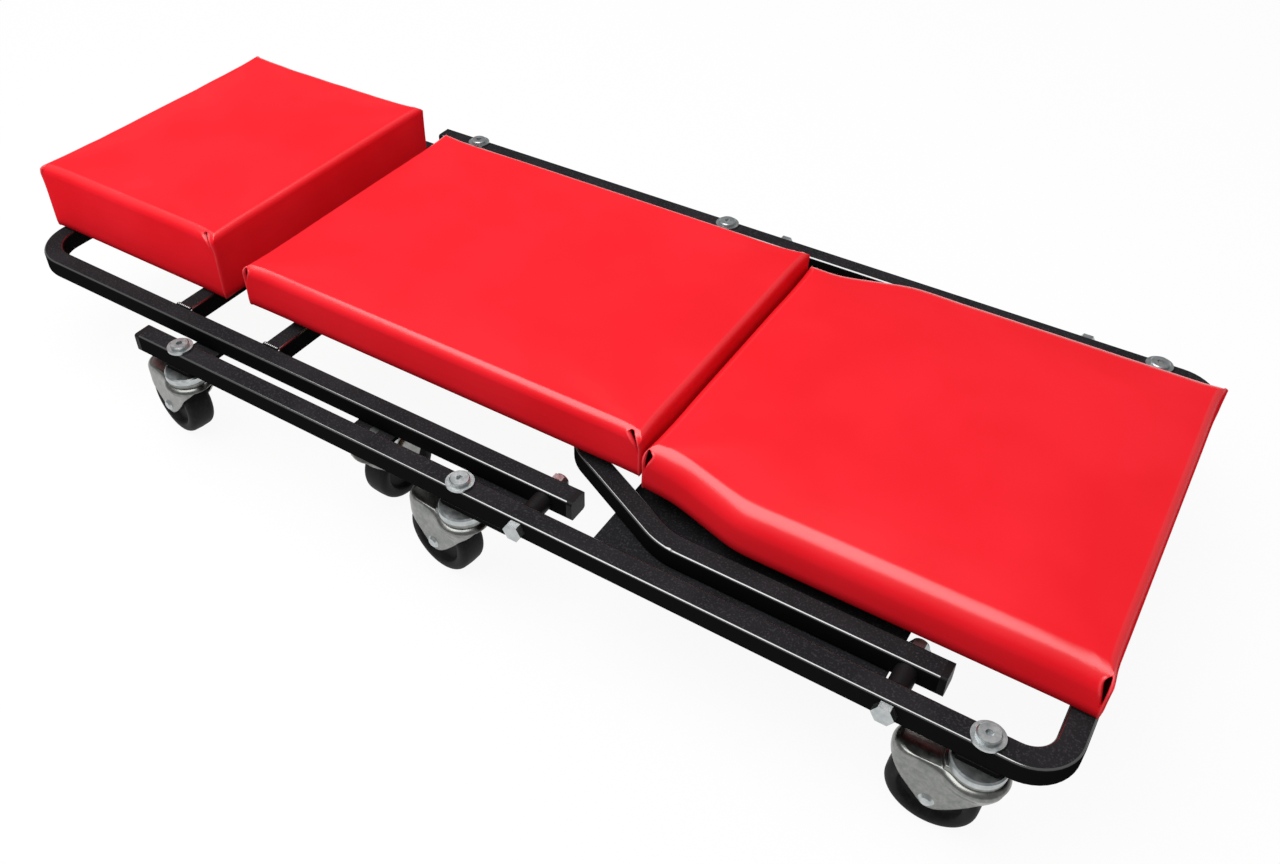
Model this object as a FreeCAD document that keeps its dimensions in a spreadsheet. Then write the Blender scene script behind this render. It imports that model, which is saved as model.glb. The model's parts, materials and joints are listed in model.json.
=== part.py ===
import FreeCAD, Part
import math
import os

import Sketcher
from FreeCAD import Placement, Rotation, Vector

# Creeper seat: a low wheeled board to lie on that folds up into a seat with a backrest.
# X runs from the head end to the foot end, Y to the left of somebody who lies on it with
# the head at the low end of X, Z up. The origin is on the floor, below the middle.

doc = FreeCAD.newDocument("creeper_seat")

# Driving sizes in millimetres, and eight swivel angles in degrees.
SIZES = {
    # Overall, and the square steel tube that all three frames are bent from
    "overall_length": 1016,
    "tube_side": 18,
    "tube_wall": 1.5,
    "tube_corner": 2.5,
    "base_half_width": 214.5,
    "side_gap": 17,
    "rest_gap": 0.3,
    # Base frame, measured from its foot end
    "base_length_share": 0.8051,
    "base_bend": 26,
    "back_pivot_share": 0.398,
    "pivot_spacing_share": 0.28495,
    "back_heel": 26,
    "link_heel": 26,
    # Back frame, measured from its head end
    "back_bend": 36,
    "head_cross_inset": 28.6,
    "pin_offset": 17.5,
    "pin_rise": 3,
    # Link frame
    "link_bend_share": 0.186,
    "link_bar_setin": 54.5,
    "link_bend": 60,
    "link_bar_bend": 30,
    # Plastic plugs in the tube ends
    "plug_cap": 5,
    "plug_depth": 12,
    "plug_fit": 0.1,
    "plug_corner": 0.8,
    # Casters
    "caster_height": 78,
    "wheel_clearance": 4,
    "wheel_width": 25,
    "wheel_shoulder": 2,
    "wheel_recess_diameter": 44,
    "wheel_recess_depth": 6,
    "hub_diameter": 16,
    "hub_length": 26.4,
    "hub_web_diameter": 24,
    "caster_trail": 21.5,
    "axle_diameter": 7,
    "axle_play": 0.1,
    "axle_head_diameter": 11,
    "axle_head_height": 1.8,
    "fork_inner_width": 27,
    "fork_sheet": 2.2,
    "fork_roof_drop": 10,
    "fork_back_reach": 49,
    "fork_back_drop": 8,
    "fork_back_top": 44,
    "fork_front_reach": 20,
    "fork_tip_reach": 22.3,
    "fork_tip_drop": 12.3,
    "fork_tip_round": 7.5,
    "fork_edge_round": 1.6,
    "fork_collar_diameter": 43,
    "race_diameter": 38,
    "race_round": 1.2,
    "race_height": 6,
    "race_gap": 0.3,
    "stem_diameter": 10,
    "stem_play": 0.1,
    "stem_foot_diameter": 16,
    "stem_foot_height": 1.6,
    "stem_foot_gap": 0.5,
    "bolt_diameter": 8,
    "bolt_play": 0.1,
    "bolt_bite": 5,
    "head_caster_setback": 49.3,
    "mid_caster_setback": 58.2,
    "foot_caster_setback": 53.2,
    "inner_caster_spacing": 109,
    "inner_caster_inset": 23.9,
    "swivel_angle_head_right": 170,
    "swivel_angle_mid_right": 172,
    "swivel_angle_foot_right": 180,
    "swivel_angle_inner_right": 87,
    "swivel_angle_head_left": 174,
    "swivel_angle_mid_left": 185,
    "swivel_angle_foot_left": 178,
    "swivel_angle_inner_left": 272,
    # Caster bolts and plates
    "plate_thick": 4,
    "plate_length": 30,
    "plate_round": 3,
    "head_plate_width": 55.5,
    "foot_plate_width": 20,
    "inner_plate_length": 40,
    "inner_plate_width": 48,
    "inner_plate_setback": 7.5,
    "stop_gap": 9,
    "bolt_washer_diameter": 22.5,
    "bolt_washer_height": 2.2,
    "bolt_head_diameter": 16,
    "bolt_head_height": 3,
    "bolt_bevel": 0.8,
    "bolt_socket": 5,
    "bolt_socket_depth": 2.4,
    # Pivot bolts
    "pivot_diameter": 9.5,
    "pivot_play": 0.1,
    "pivot_flats": 14.3,
    "pivot_head_height": 5.8,
    "pivot_nut_height": 5.6,
    "pivot_nut_collar": 2.4,
    "pivot_nut_collar_diameter": 12.4,
    "pivot_tip": 1,
    "pivot_side_gap": 0.1,
    "spacer_diameter": 16,
    "spacer_play": 0.3,
    # Hinges under the seat pad
    "pin_diameter": 7,
    "pin_play": 0.1,
    "open_pin_play": 0.5,
    "lug_thick": 4,
    "lug_round": 6,
    "lug_gap": 0.3,
    "ear_thick": 5,
    "ear_round": 6.5,
    "ear_base_length": 31,
    "ear_base_thick": 3,
    "ear_base_width": 30,
    "ear_base_overhang": 8,
    "ear_screw_reach": 17,
    "ear_screw_half_span": 9,
    "hinge_setin": 49,
    "hinge_inset": 32.7,
    "pin_head_diameter": 12,
    "pin_head_height": 2,
    # Tray and rails under the foot pad
    "tray_thick": 2,
    "tray_length": 230,
    "tray_setback": 11.1,
    "tray_hole_play": 0.5,
    "rail_setin": 51,
    "rail_inset": 81,
    # Pads
    "board_thick": 9,
    "board_inset": 6,
    "board_round": 8,
    "pad_gap": 2.4,
    "pad_lift": 7,
    "head_pad_length_share": 0.2291,
    "head_pad_setin": 34.5,
    "head_pad_thick": 70.9,
    "seat_pad_length_share": 0.4012,
    "seat_pad_setin": 35.5,
    "seat_pad_thick": 44.5,
    "foot_pad_length_share": 0.3382,
    "foot_pad_setin": 47.5,
    "foot_pad_front_setin": 21,
    "foot_pad_neck_setin": 18,
    "foot_pad_neck": 30,
    "foot_pad_taper": 88,
    "foot_pad_taper_round": 60,
    "foot_pad_thick": 42,
    "pad_corner": 6,
    "pad_foot_draw": 2,
    "pad_foot_rise": 10,
    "pad_edge_round": 5,
    "foot_pad_edge_round": 10,
    "pad_crown": 1.5,
    "pad_crown_inset": 42,
    # Wood screws that hold the boards
    "screw_diameter": 5,
    "screw_head_diameter": 10,
    "screw_head_height": 2.5,
    "screw_bite": 7,
    "screw_play": 0.1,
    "head_screw_setin": 45,
    "rail_screw_setback": 60,
    "rail_screw_spacing": 145,
}


class Size:
    """A length, number or angle together with the sheet formula that gives it."""

    def __init__(self, text, number):
        self.text = text
        self.number = number

    @staticmethod
    def of(other):
        return other if isinstance(other, Size) else Size(repr(other), other)

    def join(self, sign, other, number):
        return Size("(" + self.text + " " + sign + " " + other.text + ")", number)

    def __add__(self, other):
        other = Size.of(other)
        return self.join("+", other, self.number + other.number)

    def __radd__(self, other):
        return Size.of(other) + self

    def __sub__(self, other):
        other = Size.of(other)
        return self.join("-", other, self.number - other.number)

    def __rsub__(self, other):
        return Size.of(other) - self

    def __mul__(self, other):
        other = Size.of(other)
        return self.join("*", other, self.number * other.number)

    def __rmul__(self, other):
        return Size.of(other) * self

    def __truediv__(self, other):
        other = Size.of(other)
        return self.join("/", other, self.number / other.number)

    def __neg__(self):
        return Size("(0 - " + self.text + ")", -self.number)

    def root(self):
        return Size("sqrt(" + self.text + ")", math.sqrt(self.number))


class Sizes:
    """The sheet's cells by name."""


def fill_sheet(values):
    sheet = doc.addObject("Spreadsheet::Sheet", "Sizes")
    sizes = Sizes()
    for row, (name, value) in enumerate(values.items(), start=1):
        sheet.set("A" + str(row), name)
        sheet.set("B" + str(row), str(value))
        sheet.setAlias("B" + str(row), name)
        setattr(sizes, name, Size("Sizes." + name, float(value)))
    doc.recompute()
    return sizes


s = fill_sheet(SIZES)
ZERO = Size("0", 0.0)

# Levels and places that several pieces share
foot_end = s.overall_length / 2
head_end = -foot_end
tube_floor = s.caster_height + s.plate_thick
tube_top = tube_floor + s.tube_side
tube_middle = tube_floor + s.tube_side / 2
swing_middle = tube_middle + s.rest_gap
swing_top = tube_top + s.rest_gap
pin_level = tube_middle + s.pin_rise
head_pad_length = s.overall_length * s.head_pad_length_share
seat_pad_length = s.overall_length * s.seat_pad_length_share
foot_pad_length = s.overall_length * s.foot_pad_length_share
foot_pad_start = foot_end - foot_pad_length
seat_pad_end = foot_pad_start - s.pad_gap
seat_pad_start = seat_pad_end - seat_pad_length
base_start = foot_end - s.overall_length * s.base_length_share
back_pivot_place = foot_end - s.overall_length * s.back_pivot_share
pivot_spacing = s.overall_length * s.pivot_spacing_share
link_pivot_place = back_pivot_place + pivot_spacing
back_pin_place = seat_pad_start + s.hinge_inset
link_pin_place = back_pin_place + pivot_spacing
seat_cross_place = back_pin_place + s.pin_offset
head_cross_place = head_end + head_pad_length - s.head_cross_inset
link_bar_place = link_pin_place + s.pin_offset
base_inner = s.base_half_width - s.tube_side / 2
base_outer = s.base_half_width + s.tube_side / 2
swing_outer = base_inner - s.side_gap
swing_inner = swing_outer - s.tube_side
swing_half_width = swing_outer - s.tube_side / 2
head_pad_half = swing_half_width - s.head_pad_setin
seat_pad_half = swing_half_width - s.seat_pad_setin
foot_pad_half = s.base_half_width - s.foot_pad_setin
foot_pad_front_half = foot_pad_half - s.foot_pad_front_setin
foot_pad_neck_half = foot_pad_half - s.foot_pad_neck_setin
hinge_half_span = seat_pad_half - s.hinge_setin
rail_half_span = foot_pad_front_half - s.rail_setin
head_screw_half_span = head_pad_half - s.head_screw_setin
link_bar_half_span = swing_half_width - s.link_bar_setin
head_caster_place = base_start + s.head_caster_setback
mid_caster_place = back_pivot_place - s.mid_caster_setback
foot_caster_place = foot_end - s.foot_caster_setback
inner_caster_place = mid_caster_place - s.inner_caster_spacing
inner_caster_side = s.base_half_width - s.inner_caster_inset

nodes = []


def keep(piece, label):
    """Marks a finished piece as a node and gives it its name."""
    piece.Label = label
    nodes.append(piece)
    return piece


def put(piece, x=None, y=None, z=None):
    """Binds a piece's place to the sheet."""
    for axis, place in (("x", x), ("y", y), ("z", z)):
        if place is not None:
            piece.setExpression("Placement.Base." + axis, Size.of(place).text)
    return piece


def bind(piece, **sizes):
    """Binds properties of a piece to the sheet."""
    for name, value in sizes.items():
        piece.setExpression(name, Size.of(value).text)
    return piece


def box(name, length, width, height, x, y, z):
    block = doc.addObject("Part::Box", name)
    bind(block, Length=length, Width=width, Height=height)
    return put(block, x, y, z)


TURNS = {
    "z": Rotation(),
    "y": Rotation(Vector(1, 0, 0), -90),
    "x": Rotation(Vector(0, 1, 0), 90),
}


def cylinder(name, diameter, height, x, y, z, along="z"):
    """A round bar that starts at the given place and runs the positive way along an axis."""
    bar = doc.addObject("Part::Cylinder", name)
    bar.Placement = Placement(Vector(), TURNS[along])
    bind(bar, Radius=Size.of(diameter) / 2, Height=height)
    return put(bar, x, y, z)


def cone(name, low_diameter, high_diameter, height, x, y, z, along="z"):
    taper = doc.addObject("Part::Cone", name)
    taper.Placement = Placement(Vector(), TURNS[along])
    bind(taper, Radius1=Size.of(low_diameter) / 2, Radius2=Size.of(high_diameter) / 2, Height=height)
    return put(taper, x, y, z)


def hexagon(name, flats, height, x, y, z, along="z"):
    prism = doc.addObject("Part::Prism", name)
    prism.Polygon = 6
    prism.Placement = Placement(Vector(), TURNS[along])
    bind(prism, Circumradius=Size.of(flats) / Size.of(3).root(), Height=height)
    return put(prism, x, y, z)


def fuse(name, pieces):
    joined = doc.addObject("Part::MultiFuse", name)
    joined.Shapes = pieces
    return joined


def cut(name, base, tool):
    result = doc.addObject("Part::Cut", name)
    result.Base = base
    result.Tool = tool
    return result


def mirror(name, piece):
    """The same piece on the other side of the middle plane."""
    twin = doc.addObject("Part::Mirroring", name)
    twin.Source = piece
    twin.Normal = Vector(0, 1, 0)
    return twin


def group(name, pieces):
    together = doc.addObject("Part::Compound", name)
    together.Links = pieces
    return together


def both_sides(label, piece):
    """A node that holds a piece and its mirror image."""
    return keep(group(label, [piece, mirror(label + "_twin", piece)]), label)


def plane_of(body, role):
    return [plane for plane in body.Origin.OriginFeatures if plane.Role == role][0]


def sketch_on(body, name, role, offset=None):
    """A sketch on one of a body's own origin planes, moved along that plane's normal."""
    sketch = body.newObject("Sketcher::SketchObject", name)
    sketch.AttachmentSupport = [(plane_of(body, role), "")]
    sketch.MapMode = "FlatFace"
    if offset is not None:
        sketch.AttachmentOffset = Placement(Vector(0, 0, offset.number), Rotation())
        sketch.setExpression("AttachmentOffset.Base.z", offset.text)
    return sketch


def fix(sketch, kind, places, size):
    """Adds a measured constraint and binds it to the sheet."""
    index = sketch.addConstraint(Sketcher.Constraint(kind, *places, size.number))
    name = "size_" + str(index)
    sketch.renameConstraint(index, name)
    sketch.setExpression("Constraints." + name, size.text)


def tie(sketch, kind, *places):
    sketch.addConstraint(Sketcher.Constraint(kind, *places))


def spot(x, y):
    return Vector(x.number, y.number, 0)


def line(sketch, start, end):
    return sketch.addGeometry(Part.LineSegment(start, end), False)


def arc(sketch, centre, radius, first, last):
    """An arc that runs anticlockwise from the first angle to the last, in radians."""
    circle = Part.Circle(centre, Vector(0, 0, 1), radius)
    return sketch.addGeometry(Part.ArcOfCircle(circle, first, last), False)


def outline(sketch, corners, radii, closed=True):
    """Straight lines from corner to corner, with an arc of the given radius at each round one.

    Each corner is a point measured from the origin, and the lines beside it are held to it.
    """
    count = len(corners)
    places = [spot(x, y) for x, y in corners]
    lines = []
    bends = []
    for index, radius in enumerate(radii):
        inside = closed or 0 < index < count - 1
        if not inside or radius.number == 0:
            bends.append(None)
            continue
        before = (places[index - 1] - places[index]).normalize()
        after = (places[(index + 1) % count] - places[index]).normalize()
        half = before.getAngle(after) / 2
        reach = radius.number / math.tan(half)
        middle = (before + after).normalize() * (radius.number / math.sin(half))
        bends.append((places[index] + before * reach, places[index] + after * reach, places[index] + middle))
    ends = range(count if closed else count - 1)
    for index in ends:
        after = (index + 1) % count
        start = bends[index][1] if bends[index] else places[index]
        end = bends[after][0] if bends[after] else places[after]
        lines.append(line(sketch, start, end))
    for index, radius in enumerate(radii):
        x, y = corners[index]
        if bends[index] is None:
            held = (lines[index], 1) if index < len(lines) else (lines[index - 1], 2)
            if closed or 0 < index < count - 1:
                tie(sketch, "Coincident", lines[index - 1], 2, lines[index], 1)
        else:
            enter, leave, centre = bends[index]
            first = math.atan2(enter.y - centre.y, enter.x - centre.x)
            last = math.atan2(leave.y - centre.y, leave.x - centre.x)
            left_turn = (centre - enter).cross(places[index] - enter).z < 0
            bend = arc(sketch, centre, radius.number, *((first, last) if left_turn else (last, first)))
            tie(sketch, "Tangent", lines[index - 1], 2, bend, 1 if left_turn else 2)
            tie(sketch, "Tangent", bend, 2 if left_turn else 1, lines[index], 1)
            fix(sketch, "Radius", (bend,), radius)
            corner = sketch.addGeometry(Part.Point(places[index]), True)
            tie(sketch, "PointOnObject", corner, 1, lines[index - 1])
            tie(sketch, "PointOnObject", corner, 1, lines[index])
            held = (corner, 1)
        fix(sketch, "DistanceX", (-1, 1, *held), x)
        fix(sketch, "DistanceY", (-1, 1, *held), y)


def rectangle(sketch, low_x, low_y, high_x, high_y, radius):
    corners = [(low_x, low_y), (high_x, low_y), (high_x, high_y), (low_x, high_y)]
    outline(sketch, corners, [radius] * 4)


def square(sketch, middle, side, radius):
    """A rounded square centred at a place along the sketch's first axis."""
    half = side / 2
    rectangle(sketch, middle - half, -half, middle + half, half, radius)


def tube_section(sketch, middle):
    square(sketch, middle, s.tube_side, s.tube_corner)
    square(sketch, middle, s.tube_side - 2 * s.tube_wall, s.tube_corner - s.tube_wall)


def bent_tube(name, corners, radii, level):
    """A square tube bent along a flat line, hollow from end to end."""
    body = doc.addObject("PartDesign::Body", name)
    path = sketch_on(body, name + "_path", "XY_Plane")
    outline(path, corners, radii, closed=False)
    section = sketch_on(body, name + "_section", "YZ_Plane", corners[0][0])
    tube_section(section, corners[0][1])
    doc.recompute()
    runs = [n for n, edge in enumerate(path.Geometry) if not path.getConstruction(n)]
    pipe = body.newObject("PartDesign::AdditivePipe", name + "_pipe")
    pipe.Profile = section
    pipe.Spine = (path, ["Edge" + str(n + 1) for n in range(len(runs))])
    put(body, z=level)
    return body


def straight_tube(name, role, length, x=None, y=None, z=None, offset=None):
    """A straight square tube, drawn on one plane and stretched both ways from it."""
    body = doc.addObject("PartDesign::Body", name)
    section = sketch_on(body, name + "_section", role, offset)
    tube_section(section, ZERO)
    pad = body.newObject("PartDesign::Pad", name + "_pad")
    pad.Profile = section
    pad.Midplane = True
    bind(pad, Length=length)
    return put(body, x, y, z)


def flat_plate(name, thick, low_x, low_y, high_x, high_y, radius, holes, z):
    """A plate with rounded corners and round holes, each hole given by place and diameter."""
    body = doc.addObject("PartDesign::Body", name)
    sketch = sketch_on(body, name + "_sketch", "XY_Plane")
    rectangle(sketch, low_x, low_y, high_x, high_y, radius)
    for x, y, diameter in holes:
        circle = Part.Circle(spot(x, y), Vector(0, 0, 1), diameter.number / 2)
        index = sketch.addGeometry(circle, False)
        fix(sketch, "Radius", (index,), diameter / 2)
        fix(sketch, "DistanceX", (-1, 1, index, 3), x)
        fix(sketch, "DistanceY", (-1, 1, index, 3), y)
    pad = body.newObject("PartDesign::Pad", name + "_pad")
    pad.Profile = sketch
    bind(pad, Length=thick)
    return put(body, z=z)


# Where the casters stand, with the swivel angle from +X to the side each wheel trails to
CASTERS = [
    ("head_right", head_caster_place, -s.base_half_width, s.swivel_angle_head_right),
    ("mid_right", mid_caster_place, -s.base_half_width, s.swivel_angle_mid_right),
    ("foot_right", foot_caster_place, -s.base_half_width, s.swivel_angle_foot_right),
    ("inner_right", inner_caster_place, -inner_caster_side, s.swivel_angle_inner_right),
    ("head_left", head_caster_place, s.base_half_width, s.swivel_angle_head_left),
    ("mid_left", mid_caster_place, s.base_half_width, s.swivel_angle_mid_left),
    ("foot_left", foot_caster_place, s.base_half_width, s.swivel_angle_foot_left),
    ("inner_left", inner_caster_place, inner_caster_side, s.swivel_angle_inner_left),
]
BOLTED = [head_caster_place, mid_caster_place, foot_caster_place]
bolt_hole = s.bolt_diameter + 2 * s.bolt_play
pivot_hole = s.pivot_diameter + 2 * s.pivot_play


# Base frame: one tube bent to a U that is open at the head end
def make_base_frame():
    corner_x = foot_end - s.tube_side / 2
    tube_start = base_start + s.plug_cap
    corners = [
        (tube_start, -s.base_half_width),
        (corner_x, -s.base_half_width),
        (corner_x, s.base_half_width),
        (tube_start, s.base_half_width),
    ]
    tube = bent_tube("base_tube", corners, [ZERO, s.base_bend, s.base_bend, ZERO], tube_middle)
    drills = []
    for number, x in enumerate(BOLTED):
        for side in (-s.base_half_width, s.base_half_width):
            name = "base_drill_" + str(len(drills))
            drills.append(cylinder(name, bolt_hole, 2 * s.tube_side, x, side, tube_floor - s.tube_side / 2))
    for x in (back_pivot_place, link_pivot_place):
        name = "base_drill_" + str(len(drills))
        drills.append(cylinder(name, pivot_hole, 2 * base_outer, x, -base_outer, tube_middle, "y"))
    keep(cut("base_frame", tube, fuse("base_drills", drills)), "base_frame")


# A plastic plug for a tube end: a square cap with a square shank that goes into the tube
def tube_plug(name, cap_x, shank_x, y, z):
    body = doc.addObject("PartDesign::Body", name)
    for part, x, length, side, radius in (
        ("cap", cap_x, s.plug_cap, s.tube_side, s.tube_corner),
        ("shank", shank_x, s.plug_depth, s.tube_side - 2 * s.tube_wall - 2 * s.plug_fit, s.plug_corner),
    ):
        sketch = sketch_on(body, name + "_" + part, "YZ_Plane", x)
        square(sketch, y, side, radius)
        pad = body.newObject("PartDesign::Pad", name + "_" + part + "_pad")
        pad.Profile = sketch
        bind(pad, Length=length)
    return put(body, z=z)


def make_end_plugs():
    ends = [
        ("base_end_plugs", base_start, base_start + s.plug_cap, s.base_half_width, tube_middle),
        (
            "back_end_plugs",
            back_pivot_place + s.back_heel - s.plug_cap,
            back_pivot_place + s.back_heel - s.plug_cap - s.plug_depth,
            swing_half_width,
            swing_middle,
        ),
        (
            "link_end_plugs",
            link_pivot_place + s.link_heel - s.plug_cap,
            link_pivot_place + s.link_heel - s.plug_cap - s.plug_depth,
            swing_half_width,
            swing_middle,
        ),
    ]
    for label, cap_x, shank_x, y, z in ends:
        both_sides(label, tube_plug(label + "_one", cap_x, shank_x, y, z))


# Plates under the base tubes: the head and middle ones also carry the back frame's tubes,
# and the middle ones stop its heels when it stands up
def make_caster_plates():
    half = s.plate_length / 2
    stop_x = back_pivot_place - s.stop_gap
    rows = [
        ("head_rest_plates", head_caster_place - half, head_caster_place + half, s.head_plate_width, True),
        ("mid_rest_plates", mid_caster_place - half, stop_x, s.head_plate_width, True),
        ("foot_caster_plates", foot_caster_place - half, foot_caster_place + half, s.foot_plate_width, True),
    ]
    for label, low_x, high_x, width, bolted in rows:
        bolt_x = high_x - half if label != "mid_rest_plates" else mid_caster_place
        holes = [(bolt_x, s.base_half_width, bolt_hole)]
        inner_y = base_outer - width
        plate = flat_plate(
            label + "_one", s.plate_thick, low_x, inner_y, high_x, base_outer,
            s.plate_round, holes, s.caster_height,
        )
        both_sides(label, plate)
    half = s.inner_plate_length / 2
    outer_y = base_outer - s.inner_plate_setback
    plate = flat_plate(
        "inner_caster_plates_one", s.plate_thick,
        inner_caster_place - half, outer_y - s.inner_plate_width,
        inner_caster_place + half, outer_y,
        s.plate_round, [(inner_caster_place, inner_caster_side, bolt_hole)], s.caster_height,
    )
    both_sides("inner_caster_plates", plate)


# Swing frames: the back frame is a U closed at the head end, the link frame is a narrower
# U whose arms bend in towards its bar
def make_back_frame():
    corner_x = head_end + s.tube_side / 2
    end_x = back_pivot_place + s.back_heel - s.plug_cap
    corners = [
        (end_x, -swing_half_width),
        (corner_x, -swing_half_width),
        (corner_x, swing_half_width),
        (end_x, swing_half_width),
    ]
    tube = bent_tube("back_tube", corners, [ZERO, s.back_bend, s.back_bend, ZERO], swing_middle)
    drills = [cylinder("back_pivot_drill", pivot_hole, 2 * base_outer, back_pivot_place, -base_outer, tube_middle, "y")]
    drills += screw_drills("back_drill", corner_x)
    keep(cut("back_frame", tube, fuse("back_drills", drills)), "back_frame")
    cross = straight_tube("head_cross_tube", "XZ_Plane", 2 * swing_inner, head_cross_place, None, swing_middle)
    drills = fuse("head_cross_drills", screw_drills("head_cross_drill", head_cross_place))
    keep(cut("back_cross_head", cross, drills), "back_cross_head")
    cross = straight_tube("back_cross_seat", "XZ_Plane", 2 * swing_inner, seat_cross_place, None, swing_middle)
    keep(cross, "back_cross_seat")


def screw_drills(name, x):
    """Two upright drills through a cross tube for the head pad's screws."""
    hole = s.screw_diameter + 2 * s.screw_play
    low = swing_middle - s.tube_side
    spans = (-head_screw_half_span, head_screw_half_span)
    return [cylinder(name + str(n), hole, 2 * s.tube_side, x, y, low) for n, y in enumerate(spans)]


def make_link_frame():
    bend_x = link_pivot_place - s.overall_length * s.link_bend_share
    end_x = link_pivot_place + s.link_heel - s.plug_cap
    corners = [
        (end_x, -swing_half_width),
        (bend_x, -swing_half_width),
        (link_bar_place, -link_bar_half_span),
        (link_bar_place, link_bar_half_span),
        (bend_x, swing_half_width),
        (end_x, swing_half_width),
    ]
    radii = [ZERO, s.link_bend, s.link_bar_bend, s.link_bar_bend, s.link_bend, ZERO]
    tube = bent_tube("link_tube", corners, radii, swing_middle)
    drill = cylinder("link_drill", pivot_hole, 2 * base_outer, link_pivot_place, -base_outer, tube_middle, "y")
    keep(cut("link_frame", tube, drill), "link_frame")


# Hinges under the seat pad: two lugs on the frame's tube either side of an ear on the board
lug_inner = s.ear_thick / 2 + s.lug_gap
lug_outer = lug_inner + s.lug_thick
pin_hole = s.pin_diameter + 2 * s.pin_play


def make_hinge_lugs(label, pin_x):
    pieces = []
    low_z = pin_level - s.lug_round
    reach = s.pin_offset - s.tube_side / 2
    for name, y in (("far", hinge_half_span + lug_inner), ("near", hinge_half_span - lug_outer)):
        start = label + "_" + name
        nose = cylinder(start + "_nose", 2 * s.lug_round, s.lug_thick, pin_x, y, pin_level, "y")
        web = box(start + "_web", reach, s.lug_thick, 2 * s.lug_round, pin_x, y, low_z)
        hole = cylinder(start + "_hole", pin_hole, s.lug_thick, pin_x, y, pin_level, "y")
        pieces.append(cut(start + "_lug", fuse(start + "_blank", [nose, web]), hole))
    both_sides(label, group(label + "_pair", pieces))


def make_seat_pins(label, pin_x):
    """A pin with a head at both ends, held in the frame's lugs."""
    low_y = hinge_half_span - lug_outer
    length = 2 * lug_outer
    shank = cylinder(label + "_shank", s.pin_diameter, length, pin_x, low_y, pin_level, "y")
    outer = cylinder(
        label + "_outer", s.pin_head_diameter, s.pin_head_height, pin_x, low_y + length, pin_level, "y"
    )
    inner_y = low_y - s.pin_head_height
    inner = cylinder(label + "_inner", s.pin_head_diameter, s.pin_head_height, pin_x, inner_y, pin_level, "y")
    both_sides(label, fuse(label + "_pin", [shank, outer, inner]))


seat_floor = tube_top + s.pad_lift
head_floor = swing_top
foot_floor = tube_top


def make_seat_ears(label, pin_x, hole):
    """An upright ear with a round foot, on a base plate let into the underside of the board."""
    low_y = hinge_half_span - s.ear_thick / 2
    foot = cylinder(label + "_foot", 2 * s.ear_round, s.ear_thick, pin_x, low_y, pin_level, "y")
    height = seat_floor - pin_level
    web = box(label + "_web", 2 * s.ear_round, s.ear_thick, height, pin_x - s.ear_round, low_y, pin_level)
    base = ear_base(label + "_base", pin_x, ZERO)
    blank = fuse(label + "_blank", [foot, web, base])
    bore = cylinder(label + "_bore", hole, s.ear_thick, pin_x, low_y, pin_level, "y")
    drills = [bore] + [
        cylinder(label + "_drill" + str(n), screw_hole, s.ear_base_thick, x, y, seat_floor)
        for n, (x, y) in enumerate(ear_screw_places(pin_x))
    ]
    both_sides(label, cut(label + "_ear", blank, fuse(label + "_drills", drills)))


def ear_base(name, pin_x, play):
    low_x = pin_x + s.ear_base_overhang - s.ear_base_length - play
    low_y = hinge_half_span - s.ear_base_width / 2 - play
    length = s.ear_base_length + 2 * play
    width = s.ear_base_width + 2 * play
    return box(name, length, width, s.ear_base_thick, low_x, low_y, seat_floor)


def ear_screw_places(pin_x):
    x = pin_x - s.ear_screw_reach
    span = s.ear_screw_half_span
    return [(x, hinge_half_span - span), (x, hinge_half_span + span)]


screw_hole = s.screw_diameter + 2 * s.screw_play


def screw(name, x, y, seat_z, length):
    """A wood screw driven upwards, with its head below the given level."""
    head = cylinder(name + "_head", s.screw_head_diameter, s.screw_head_height, x, y, seat_z - s.screw_head_height)
    shank = cylinder(name + "_shank", s.screw_diameter, length, x, y, seat_z)
    return fuse(name, [head, shank])


# Casters: a static upper race with its kingpin, a forked yoke that swivels under it, and a wheel
fork_roof = s.caster_height - s.fork_roof_drop
wheel_diameter = fork_roof - s.wheel_clearance
axle_height = wheel_diameter / 2
race_floor = s.caster_height - s.race_height
cup_top = race_floor - s.race_gap
stem_floor = fork_roof - s.fork_sheet - s.stem_foot_gap
stem_hole = s.stem_diameter + 2 * s.stem_play


def make_caster_stems():
    stems = []
    for name, x, y, _ in CASTERS:
        start = "stem_" + name
        shoulder = s.race_round
        race = cylinder(start + "_race", s.race_diameter, s.race_height - shoulder, x, y, race_floor)
        rim = cone(
            start + "_rim", s.race_diameter, s.race_diameter - 2 * shoulder, shoulder, x, y,
            s.caster_height - shoulder,
        )
        pin = cylinder(start + "_pin", s.stem_diameter, race_floor - stem_floor, x, y, stem_floor)
        foot = cylinder(start + "_foot", s.stem_foot_diameter, s.stem_foot_height, x, y,
                        stem_floor - s.stem_foot_height)
        stem = fuse(start + "_blank", [race, rim, pin, foot])
        if "inner" in name:
            rivet = cylinder(start + "_rivet", s.bolt_diameter, s.plate_thick, x, y, s.caster_height)
            stems.append(fuse(start, [stem, rivet]))
        else:
            bore = cylinder(start + "_bore", bolt_hole, 2 * s.bolt_bite, x, y, s.caster_height - s.bolt_bite)
            stems.append(cut(start, stem, bore))
    keep(group("caster_stems", stems), "caster_stems")


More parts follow.
